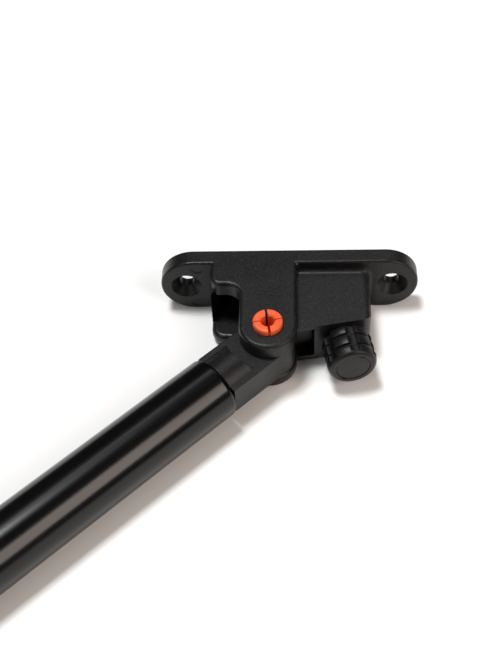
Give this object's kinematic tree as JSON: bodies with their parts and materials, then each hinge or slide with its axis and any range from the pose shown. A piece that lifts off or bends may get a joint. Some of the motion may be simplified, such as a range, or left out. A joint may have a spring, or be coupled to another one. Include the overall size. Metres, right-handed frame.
{
  "type": "gas strut stay",
  "caption": "Gas strut stay: a gas spring between two screw-on pivot brackets, one with a friction lock worked by a knob.",
  "frame": {"origin": "centre of the lock bracket's mounting face", "axes": "+X along the lock bracket's plate, +Y out of its mounting face, +Z along the pivot pins"},
  "size_m": [0.3435, 0.3046, 0.0231],
  "materials": {
    "black_nylon": "fine moulded grain, satin black",
    "knob_plastic": "satin black moulded plastic",
    "orange_plastic": "smooth orange plastic",
    "black_paint": "satin black paint",
    "chromed_rod": "ground and hard chromed",
    "zinc_steel": "zinc plated",
    "brass": "turned",
    "alloy": "turned",
    "inner_plastic": "black acetal",
    "friction_rubber": "matt friction rubber",
    "seal_rubber": "nitrile rubber"
  },
  "bodies": {
    "lock_bracket": {"lock_bracket_body": "black_nylon", "pivot_pin": "orange_plastic", "lock_nut": "zinc_steel", "back_cover": "black_nylon"},
    "wedge": {"lock_wedge": "inner_plastic"},
    "knob": {"lock_knob": "knob_plastic", "knob_cap": "knob_plastic", "lock_screw": "zinc_steel"},
    "shoe": {"brake_shoe": "inner_plastic", "shoe_lining": "friction_rubber"},
    "cylinder": {"tube_tongue": "black_nylon", "tube_tongue_bush": "brass", "pressure_tube": "black_paint", "end_plug": "zinc_steel", "end_plug_seal": "seal_rubber", "rod_guide": "brass", "rod_seal": "seal_rubber", "seal_support_ring": "inner_plastic"},
    "rod": {"piston_rod": "chromed_rod", "piston": "alloy", "piston_ring": "seal_rubber", "piston_washer": "zinc_steel", "rod_nut": "zinc_steel", "rod_tongue": "black_nylon", "rod_tongue_bush": "brass"},
    "frame_bracket": {"frame_bracket_body": "black_nylon", "frame_pivot_pin": "orange_plastic"}
  },
  "joints": [
    {"name": "strut_swing", "type": "hinge", "parent": "lock_bracket", "child": "cylinder", "pos_m": [-0.0063, -0.0296, 0], "axis": [0, 0, 1], "range_deg": [-43, 70]},
    {"name": "rod_slide", "type": "slide", "parent": "cylinder", "child": "rod", "axis": [-0.7234, -0.6904, 0], "range_m": [-0.13, 0], "stiffness_N_per_m": 150, "springref_m": 0.4},
    {"name": "frame_swing", "type": "hinge", "parent": "rod", "child": "frame_bracket", "pos_m": [-0.26349, -0.27503, 0], "axis": [0, 0, 1], "range_deg": [-134, 41]},
    {"name": "wedge_slide", "type": "slide", "parent": "lock_bracket", "child": "wedge", "axis": [-0.1826, 0.9832, 0], "range_m": [0, 0.000833]},
    {"name": "knob_turn", "type": "hinge", "parent": "wedge", "child": "knob", "pos_m": [0.01641, -0.02576, 0], "axis": [-0.1826, 0.9832, 0], "range_deg": [0, 300]},
    {"name": "shoe_slide", "type": "slide", "parent": "lock_bracket", "child": "shoe", "axis": [-0.9832, -0.1826, 0], "range_m": [0, 0.00045]}
  ],
  "couplings": [
    {"joint": "knob_turn", "follows": "wedge_slide", "rad_per_m": 6283.2},
    {"joint": "shoe_slide", "follows": "wedge_slide", "ratio": 0.5}
  ]
}
